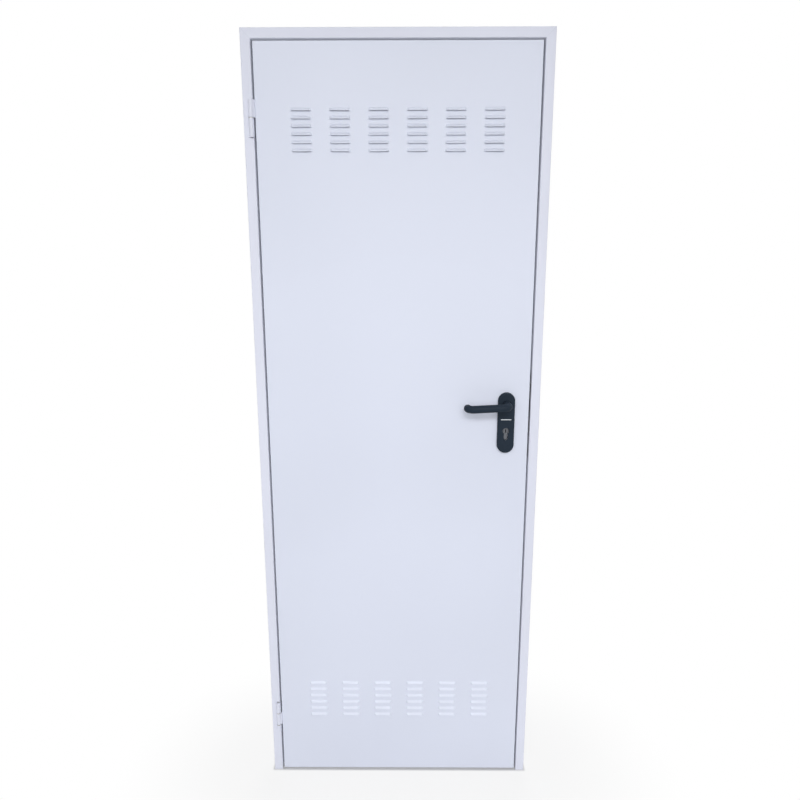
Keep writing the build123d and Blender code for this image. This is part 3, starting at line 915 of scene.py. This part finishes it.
def lever_line(handle):
    """Points along the lever's middle line, and the depth of its end face."""
    start = LEAF_FRONT - handle.depth + handle.wall + LEVER_SEAT
    out = LEAF_FRONT - handle.grip_out
    reach = handle.grip_reach - handle.grip_radius
    bend = quarter(14)
    neck_steps = 8
    run_steps = 12
    neck = out + handle.elbow - start
    run = reach - handle.elbow - handle.tip_bend
    line = [Vector((0, start + neck * i / neck_steps, 0)) for i in range(neck_steps + 1)]
    for sine, rise in bend:
        line.append(Vector((-handle.elbow * rise, out + handle.elbow * (1 - sine), 0)))
    for i in range(1, run_steps + 1):
        line.append(Vector((-handle.elbow - run * i / run_steps, out, 0)))
    for sine, rise in bend:
        line.append(Vector((-reach + handle.tip_bend * (1 - sine), out + handle.tip_bend * rise, 0)))
    end = out + handle.grip_return
    line.append(Vector((-reach, end - handle.tip_round, 0)))
    return line, end


def lever_bar(handle):
    """A round bar swept along the lever's line, closed by a round-edged end."""
    bm = bmesh.new()
    line, end = lever_line(handle)
    sides = 36
    rings = []

    def ring(centre, along, radius):
        up = Vector((0, 0, 1))
        across = along.cross(up).normalized()
        return loop(bm, [centre + x * across + z * up for x, z in circle(0, 0, radius, sides)])

    for i, centre in enumerate(line):
        before = line[max(i - 1, 0)]
        after = line[min(i + 1, len(line) - 1)]
        rings.append(ring(centre, (after - before).normalized(), handle.grip_radius))
    tip = handle.tip_round
    for sine, rise in quarter(7):
        centre = Vector((line[-1].x, end - tip + tip * sine, 0))
        rings.append(ring(centre, Vector((0, 1, 0)), handle.grip_radius - tip * rise))
    bands(bm, *rings)
    bm.faces.new(rings[0])
    bm.faces.new(rings[-1])
    face_outwards(bm)
    place = Matrix.Translation((SPINDLE.x, 0, SPINDLE.z)) @ Matrix.Rotation(-handle.droop, 4, "Y")
    bm.transform(place)
    return bm


# Softened copies of carried parts

FLAT_ANGLE = math.radians(1)
BEVEL_ANGLE = math.radians(40)


def soften(node, body, width, slot):
    """Puts a copy with broken edges in the place of a machined or pressed part."""
    bm = bmesh.new()
    bm.from_mesh(frame["nodes"][node].data)
    bmesh.ops.remove_doubles(bm, verts=bm.verts[:], dist=0.002 * MM)
    bmesh.ops.dissolve_limit(bm, angle_limit=FLAT_ANGLE, verts=bm.verts[:], edges=bm.edges[:])
    piece = make_object(node.capitalize() + "_soft", bm, MATERIALS[slot])
    bevel = piece.modifiers.new("Broken edges", "BEVEL")
    bevel.width = width
    bevel.segments = 2
    bevel.limit_method = "ANGLE"
    bevel.angle_limit = BEVEL_ANGLE
    bevel.harden_normals = True
    settle(piece)
    deliver(piece, body, slot, node)


# Screws

FOREND_SCREW_INSET = 10 * MM
CYLINDER_SCREW_BELOW = 86 * MM
KEEPER_SCREW_INSET = 5.5 * MM


def screw_head(name, radius, dome, recess):
    """A countersunk head, facing +Z, with a cross recess."""
    bm = bmesh.new()
    count = 24
    arm, half = recess, recess * 0.30
    cross = [
        (arm, half), (half, half), (half, arm), (-half, arm), (-half, half), (-arm, half),
        (-arm, -half), (-half, -half), (-half, -arm), (half, -arm), (half, -half), (arm, -half),
    ]

    edge = level_loop(bm, circle(0, 0, radius, count), 0.0)
    brim = level_loop(bm, circle(0, 0, radius * 0.9, count), dome)
    top = level_loop(bm, cross, dome)
    pit = level_loop(bm, [(x * 0.7, y * 0.7) for x, y in cross], -recess * 0.7)
    skirt = level_loop(bm, circle(0, 0, radius, count), -0.4 * MM)
    bands(bm, skirt, edge, brim)
    bands(bm, top, pit)
    for closed in ([brim, top], [pit], [skirt]):
        fill(bm, closed)
    face_outwards(bm)
    return make_object(name, bm, MATERIALS["bright_steel"])


def snap_cap(name, radius):
    """A flush plastic cap, facing +Z, with a soft edge."""
    bm = bmesh.new()
    soft = 0.3 * MM
    levels = (
        (radius, -1.0 * MM), (radius, -soft), (radius - 0.3 * soft, -0.3 * soft), (radius - soft, 0.0),
    )
    rings = [level_loop(bm, circle(0, 0, size, 32), z) for size, z in levels]
    bands(bm, *rings)
    fill(bm, [rings[0]])
    fill(bm, [rings[-1]])
    face_outwards(bm)
    return make_object(name, bm, MATERIALS["frame_paint"])


def scatter(name, body, places, facing, seed, head, slot="bright_steel"):
    """Copies of one small fastener at the given places, all facing one way."""
    mesh = bpy.data.meshes.new(name)
    mesh.from_pydata(places, [], [])
    piece = bpy.data.objects.new(name, mesh)
    bpy.context.scene.collection.objects.link(piece)
    tree, identifiers = scattered_heads_tree()
    turn = Vector((0, 0, 1)).rotation_difference(facing).to_euler()
    add_tree(piece, tree, identifiers, {
        "Head": head, "Facing": tuple(turn), "Seed": seed, "Metal": MATERIALS[slot],
    })
    settle(piece)
    deliver(piece, body, slot)


# Lock cylinder

CASE_CHAMFER = 0.5 * MM
PLUG_SEAT = 6.55 * MM
PLUG_RADIUS = 6.5 * MM
PLUG_CHAMFER = 0.4 * MM
KEYWAY_DEPTH = 18 * MM
# A slot with the side steps of a profiled key, in millimetres round the barrel's middle
KEYWAY = (
    (-1.2, -4.5), (1.2, -4.5), (1.2, -1.5), (1.8, -1.0), (1.8, 0.4), (1.2, 0.9), (1.2, 4.3),
    (-1.2, 4.3), (-1.2, 2.6), (-1.8, 2.2), (-1.8, 1.2), (-1.2, 0.8),
)
# Each end of the cylinder: the side it is on and its depth
CYLINDER_ENDS = ((FRONT, CYLINDER_LOW.y), (BACK, CYLINDER_HIGH.y))


def cylinder_case():
    """The cylinder's body with chamfered ends and a round bore for the key barrels."""
    bm = bmesh.new()
    rims = []
    bores = []
    for side, y in CYLINDER_ENDS:
        face = flat_loop(bm, cylinder_outline(-CASE_CHAMFER), y)
        rim = flat_loop(bm, cylinder_outline(), y - side * CASE_CHAMFER)
        bore = flat_loop(bm, circle(SPINDLE.x, CYLINDER_CENTRE, PLUG_SEAT), y)
        fill(bm, [face, bore])
        bands(bm, face, rim)
        rims.append(rim)
        bores.append(bore)
    bands(bm, *rims)
    bands(bm, *bores)
    face_outwards(bm)
    return bm


def key_barrels():
    """Both key barrels: a chamfered disc with its keyway, reaching nearly to the middle."""
    bm = bmesh.new()
    x, z = SPINDLE.x, CYLINDER_CENTRE
    keyway = [(x + across * MM, z + up * MM) for across, up in KEYWAY]
    for side, y in CYLINDER_ENDS:
        face = flat_loop(bm, circle(x, z, PLUG_RADIUS - PLUG_CHAMFER), y)
        rim = flat_loop(bm, circle(x, z, PLUG_RADIUS), y - side * PLUG_CHAMFER)
        end = flat_loop(bm, circle(x, z, PLUG_RADIUS), LEAF_MIDDLE + side * MM)
        slot = flat_loop(bm, keyway, y)
        depth = flat_loop(bm, keyway, y - side * KEYWAY_DEPTH)
        bands(bm, face, rim, end)
        bands(bm, slot, depth)
        for closed in ([face, slot], [end], [depth]):
            fill(bm, closed)
    face_outwards(bm)
    return bm


# Operators

class DOOR_OT_finishes(bpy.types.Operator):
    """Make every finish and give the carried parts theirs"""
    bl_idname = "door.finishes"
    bl_label = "Finishes"

    def execute(self, context):
        make_materials(context.scene.finish_colours)
        for part in frame["record"]["subparts"]:
            slots = frame["nodes"][part["node"]].data.materials
            slots.clear()
            slots.append(MATERIALS[part["material_slot"]])
        return {"FINISHED"}


class DOOR_OT_skins(bpy.types.Operator):
    """Press both skins of the leaf with their banks of louvres"""
    bl_idname = "door.skins"
    bl_label = "Skins"

    def execute(self, context):
        scene = context.scene
        make_skin("Front_sheet", "front_skin", scene.louvre_sizes, scene.handle_sizes, FRONT)
        make_skin("Back_sheet", "back_skin", scene.louvre_sizes, scene.handle_sizes, BACK)
        return {"FINISHED"}


class DOOR_OT_backplates(bpy.types.Operator):
    """Mould the two backplates"""
    bl_idname = "door.backplates"
    bl_label = "Backplates"

    def execute(self, context):
        handle = context.scene.handle_sizes
        for side, node in ((FRONT, "front_backplate"), (BACK, "back_backplate")):
            bm = backplate(handle)
            if side == BACK:
                mirror_to_back(bm)
            piece = make_object(node.capitalize() + "_cover", bm, MATERIALS["black_nylon"])
            weigh_normals(piece)
            settle(piece)
            deliver(piece, "leaf", "black_nylon", node)
        return {"FINISHED"}


class DOOR_OT_levers(bpy.types.Operator):
    """Mould the two levers"""
    bl_idname = "door.levers"
    bl_label = "Levers"

    def execute(self, context):
        handle = context.scene.handle_sizes
        for side, node in ((FRONT, "front_lever"), (BACK, "back_lever")):
            bm = lever_bar(handle)
            if side == BACK:
                mirror_to_back(bm)
            piece = make_object(node.capitalize() + "_grip", bm, MATERIALS["black_nylon"])
            deliver(piece, "lever", "black_nylon", node)
        return {"FINISHED"}


class DOOR_OT_cylinder(bpy.types.Operator):
    """Make the lock cylinder and its key barrels"""
    bl_idname = "door.cylinder"
    bl_label = "Cylinder"

    def execute(self, context):
        metal = MATERIALS["cylinder_nickel"]
        body = make_object("Cylinder_case", cylinder_case(), metal)
        deliver(body, "leaf", "cylinder_nickel", "cylinder_body")
        plugs = make_object("Key_barrels", key_barrels(), metal)
        deliver(plugs, "leaf", "cylinder_nickel", "cylinder_plugs")
        return {"FINISHED"}


class DOOR_OT_hinges(bpy.types.Operator):
    """Break the edges of the hinges"""
    bl_idname = "door.hinges"
    bl_label = "Hinges"

    def execute(self, context):
        pieces = (
            ("top_frame_knuckle", "frame"), ("bottom_frame_knuckles", "frame"),
            ("top_leaf_knuckle", "leaf"), ("bottom_leaf_knuckle", "leaf"),
        )
        for node, body in pieces:
            soften(node, body, 0.5 * MM, "hinge_paint")
        return {"FINISHED"}


class DOOR_OT_lock(bpy.types.Operator):
    """Break the edges of the forend, the bolts and the keeper"""
    bl_idname = "door.lock"
    bl_label = "Lock"

    def execute(self, context):
        pieces = (
            ("lock_forend", "leaf", 0.4 * MM, "bright_steel"),
            ("latch_bolt", "leaf", 0.8 * MM, "bright_steel"),
            ("dead_bolt", "leaf", 0.8 * MM, "bright_steel"),
            ("latch_keeper", "frame", 0.5 * MM, "keeper_nylon"),
        )
        for node, body, width, slot in pieces:
            soften(node, body, width, slot)
        return {"FINISHED"}


class DOOR_OT_screws(bpy.types.Operator):
    """Put the screws in the forend, the keeper and the inner backplate"""
    bl_idname = "door.screws"
    bl_label = "Screws"

    def execute(self, context):
        handle = context.scene.handle_sizes
        small, medium, large = (
            screw_head(f"Screw_{size}", size * MM, 0.12 * size * MM, 0.55 * size * MM)
            for size in (3.2, 3.4, 4.0)
        )
        forend = [
            (FOREND_HIGH.x, LEAF_MIDDLE, FOREND_LOW.z + FOREND_SCREW_INSET),
            (FOREND_HIGH.x, LEAF_MIDDLE, FOREND_HIGH.z - FOREND_SCREW_INSET),
            (FOREND_HIGH.x, LEAF_MIDDLE, SPINDLE.z - CYLINDER_SCREW_BELOW),
        ]
        scatter("Forend_screws", "leaf", forend, Vector((1, 0, 0)), 3, medium)
        keeper = [
            (KEEPER_LOW.x, LEAF_MIDDLE, KEEPER_LOW.z + KEEPER_SCREW_INSET),
            (KEEPER_LOW.x, LEAF_MIDDLE, KEEPER_HIGH.z - KEEPER_SCREW_INSET),
        ]
        scatter("Keeper_screws", "frame", keeper, Vector((-1, 0, 0)), 5, small)
        back = LEAF_BACK + handle.depth
        plate = [(SPINDLE.x, back, z) for z in screw_heights(handle)]
        scatter("Plate_screw_heads", "leaf", plate, Vector((0, 1, 0)), 8, large)
        for head in (small, medium, large):
            bpy.data.objects.remove(head)
        return {"FINISHED"}


class DOOR_OT_caps(bpy.types.Operator):
    """Close the screwdriver holes in the rebate with flush caps"""
    bl_idname = "door.caps"
    bl_label = "Caps"

    def execute(self, context):
        sizes = context.scene.frame_sizes
        cap = snap_cap("Cap", sizes.cap_radius)
        jambs = (
            ("Hinge_side_caps", "hinge_side_fixings", sizes.face, 1),
            ("Latch_side_caps", "latch_side_fixings", FRAME_HIGH.x - sizes.face, -1),
        )
        for name, mount, x, facing in jambs:
            places = [(x, y, z) for y, z in fixing_places(mount)]
            scatter(name, "frame", places, Vector((facing, 0, 0)), 2, cap, "frame_paint")
        bpy.data.objects.remove(cap)
        return {"FINISHED"}


class DOOR_OT_stage(bpy.types.Operator):
    """Lay the floor and set the lamps and the camera"""
    bl_idname = "door.stage"
    bl_label = "Stage"

    def execute(self, context):
        scene = context.scene
        settings = scene.stage_settings
        lay_floor(settings)
        light_scene(scene, settings)
        place_camera(scene, settings)
        scene.view_settings.view_transform = "Standard"
        return {"FINISHED"}


FLOOR_LEVEL = -0.2 * MM
# The floor turns white in two steps: from and to a distance, and the white gained there
NEAR_FADE = (0.0, 0.008, 0.0, 0.8)
FAR_FADE = (0.02, 0.5, 0.0, 0.2)


def lay_floor(settings):
    """A pale floor that fades to plain white away from the door."""
    bm = bmesh.new()
    half = settings.floor_size / 2
    corners = [(-half, -half), (half, -half), (half, half), (-half, half)]
    bm.faces.new(loop(bm, [Vector((FRAME_CENTRE_X + x, y, FLOOR_LEVEL)) for x, y in corners]))
    paint = Finish("Floor_paint")
    x, y, _ = paint.split(paint.place)
    half_width = (FRAME_HIGH.x - FRAME_LOW.x) / 2
    half_depth = (LEAF_BACK - LEAF_FRONT) / 2
    beside = (abs(x - FRAME_CENTRE_X) - half_width).at_least(0.0)
    before = (abs(y - LEAF_MIDDLE) - half_depth).at_least(0.0)
    distance = x.math("SQRT", beside * beside + before * before)
    fade = paint.step(distance, *NEAR_FADE) + paint.step(distance, *FAR_FADE)
    tone = paint.shades(paint.noise(30, detail=3), settings.floor, 0.985, 1.0)
    floor = paint.shader(tone, 0.75, paint.bump(paint.noise(260), 0.2 * MM, 0.3))
    white = paint.node("ShaderNodeEmission", {}, {"Color": WHITE, "Strength": 1.0})
    shown = paint.show(paint.blend(fade * paint.background_seen(), floor, white))
    make_object("Floor", bm, shown)


def area_lamp(name, power, size, place, target, spread=math.pi):
    """A soft rectangular lamp aimed at a point."""
    lamp = bpy.data.lights.new(name, "AREA")
    lamp.shape = "RECTANGLE"
    lamp.size, lamp.size_y = size
    lamp.energy = power
    lamp.spread = spread
    holder = bpy.data.objects.new(name, lamp)
    holder.location = place
    holder.rotation_euler = (Vector(target) - Vector(place)).to_track_quat("-Z", "Y").to_euler()
    bpy.context.scene.collection.objects.link(holder)


def light_scene(scene, settings):
    """An even sky, a large key lamp above the camera, a fill and a lamp behind the door."""
    x = FRAME_CENTRE_X
    spread = settings.key_spread
    area_lamp("Key", settings.key, (3.4, 1.0), (x, -4.6, 3.6), (x, 0, 0.4), spread)
    area_lamp("Fill", settings.fill, (3.6, 0.6), (x, -2.3, 1.4), (x, 0, 0.8))
    area_lamp("Back", settings.back, (2.8, 1.8), (x + 0.8, 4.0, 3.4), (x, 0, 1.0))
    world = bpy.data.worlds.new("Even sky")
    world.use_nodes = True
    sky = Tree(world.node_tree)
    sky.tree.nodes.clear()
    even, white = (
        sky.node("ShaderNodeBackground", {}, {"Color": WHITE, "Strength": strength})
        for strength in (settings.sky, 1.0)
    )
    shader = sky.blend(sky.background_seen(), even, white)
    sky.node("ShaderNodeOutputWorld", {}, {"Surface": shader})
    scene.world = world


def place_camera(scene, settings):
    """The camera stands where the photograph was taken from."""
    pitch, yaw, roll = settings.camera_pitch, settings.camera_yaw, settings.camera_roll
    forward = Vector((
        math.sin(yaw) * math.cos(pitch), math.cos(yaw) * math.cos(pitch), -math.sin(pitch)
    ))
    right = Vector((math.cos(yaw), -math.sin(yaw), 0))
    up = right.cross(forward)
    right_leaning = right * math.cos(roll) + up * math.sin(roll)
    up_leaning = -right * math.sin(roll) + up * math.cos(roll)
    camera = bpy.data.cameras.new("Camera")
    camera.lens = settings.lens
    camera.sensor_width = 36
    camera.clip_start = 0.05
    holder = bpy.data.objects.new("Camera", camera)
    turned = Matrix((right_leaning, up_leaning, -forward)).transposed().to_4x4()
    holder.matrix_world = Matrix.Translation(Vector(settings.camera_place)) @ turned
    scene.collection.objects.link(holder)
    scene.camera = holder


OPERATORS = (
    DOOR_OT_finishes, DOOR_OT_skins, DOOR_OT_backplates, DOOR_OT_levers, DOOR_OT_cylinder,
    DOOR_OT_hinges, DOOR_OT_lock, DOOR_OT_screws, DOOR_OT_caps, DOOR_OT_stage,
)


class DOOR_PT_panel(bpy.types.Panel):
    """Steps and sizes of the door"""
    bl_idname = "DOOR_PT_panel"
    bl_label = "Louvred door"
    bl_space_type = "VIEW_3D"
    bl_region_type = "UI"
    bl_category = "Louvred door"

    def draw(self, context):
        for operator in OPERATORS:
            self.layout.operator(operator.bl_idname)
        for name, group in SETTINGS.items():
            box = self.layout.box()
            for field in group.__annotations__:
                box.prop(getattr(context.scene, name), field)


def register():
    for name, group in SETTINGS.items():
        bpy.utils.register_class(group)
        setattr(bpy.types.Scene, name, PointerProperty(type=group))
    for operator in OPERATORS:
        bpy.utils.register_class(operator)
    bpy.utils.register_class(DOOR_PT_panel)


def unregister():
    bpy.utils.unregister_class(DOOR_PT_panel)
    for operator in reversed(OPERATORS):
        bpy.utils.unregister_class(operator)
    for name, group in SETTINGS.items():
        delattr(bpy.types.Scene, name)
        bpy.utils.unregister_class(group)


def main():
    register()
    bpy.ops.door.finishes()
    bpy.ops.door.skins()
    bpy.ops.door.backplates()
    bpy.ops.door.levers()
    bpy.ops.door.cylinder()
    bpy.ops.door.hinges()
    bpy.ops.door.lock()
    bpy.ops.door.screws()
    bpy.ops.door.caps()
    bpy.ops.door.stage()


if __name__ == "__main__":
    main()
